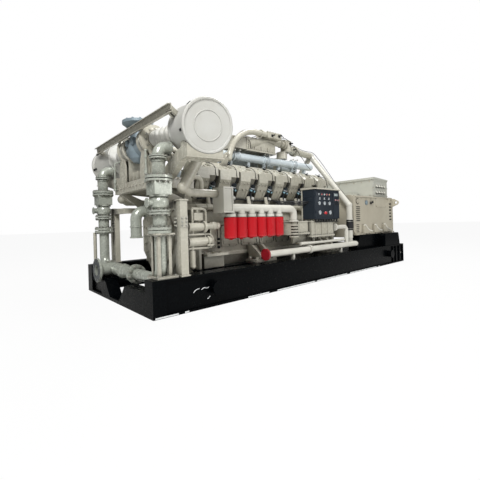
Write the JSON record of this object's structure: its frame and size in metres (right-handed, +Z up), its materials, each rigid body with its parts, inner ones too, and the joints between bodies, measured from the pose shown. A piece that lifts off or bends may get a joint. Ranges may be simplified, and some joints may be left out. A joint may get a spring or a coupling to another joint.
{
  "type": "gas engine generator set",
  "caption": "Skid-mounted generator set: turbocharged V engine with drum air filters, red oil filters and control panel, driving an alternator with a terminal box",
  "frame": {"origin": "middle of the skid base footprint, on the floor it rests on", "axes": "+X from the engine front to the alternator, +Y from the filter and panel side to the far side, +Z up"},
  "size_m": [5.631, 2.8572, 2.304],
  "materials": {
    "frame_paint": "semi-gloss black skid paint",
    "engine_paint": "satin cream engine paint",
    "pipe_paint": "satin grey-cream pipe paint",
    "exhaust_coat": "silver-blue heat-proof coat",
    "outlet_coat": "blue-grey heat-proof coat on cast iron",
    "filter_paint": "gloss red",
    "blind_paint": "satin dark red",
    "coil_plastic": "moulded black plastic",
    "coupling_rubber": "matt black rubber hose",
    "panel_paint": "textured slate paint",
    "alternator_paint": "satin warm grey",
    "drum_paint": "satin off-white"
  },
  "bodies": {
    "root": {"base_rail_near": "frame_paint", "base_rail_far": "frame_paint", "base_cross_members": "frame_paint", "engine_bearers": "frame_paint", "drip_tray": "frame_paint", "engine_block": "engine_paint", "oil_sump": "engine_paint", "engine_feet": "engine_paint", "front_cover": "engine_paint", "flywheel_housing": "engine_paint", "cylinder_heads": "engine_paint", "rocker_covers": "engine_paint", "ignition_coils": "coil_plastic", "exhaust_manifolds": "exhaust_coat", "coolant_rails": "engine_paint", "lifting_eyes": "engine_paint", "charge_air_housing": "engine_paint", "crossover_pipe": "engine_paint", "mixer_pipe": "engine_paint", "return_pipes": "engine_paint", "pipe_couplings": "coupling_rubber", "turbochargers": "engine_paint", "intake_bellows": "drum_paint", "exhaust_outlet": "outlet_coat", "turbo_shelf": "engine_paint", "oil_lines": "pipe_paint", "air_filter_near": "drum_paint", "air_filter_far": "drum_paint", "filter_saddles": "engine_paint", "filter_tie_beam": "engine_paint", "riser_near": "pipe_paint", "riser_far": "pipe_paint", "support_column": "engine_paint", "support_posts": "engine_paint", "gas_manifold": "pipe_paint", "breather_elbow": "pipe_paint", "charge_ducts": "engine_paint", "oil_header": "engine_paint", "oil_filters": "filter_paint", "front_coolers": "engine_paint", "control_panel": "panel_paint", "panel_bracket": "engine_paint", "side_coolers": "engine_paint", "water_pipe": "engine_paint", "blind_flange": "blind_paint", "alternator": "alternator_paint", "alternator_ends": "alternator_paint", "terminal_box": "alternator_paint", "alternator_feet": "frame_paint"}
  },
  "joints": []
}
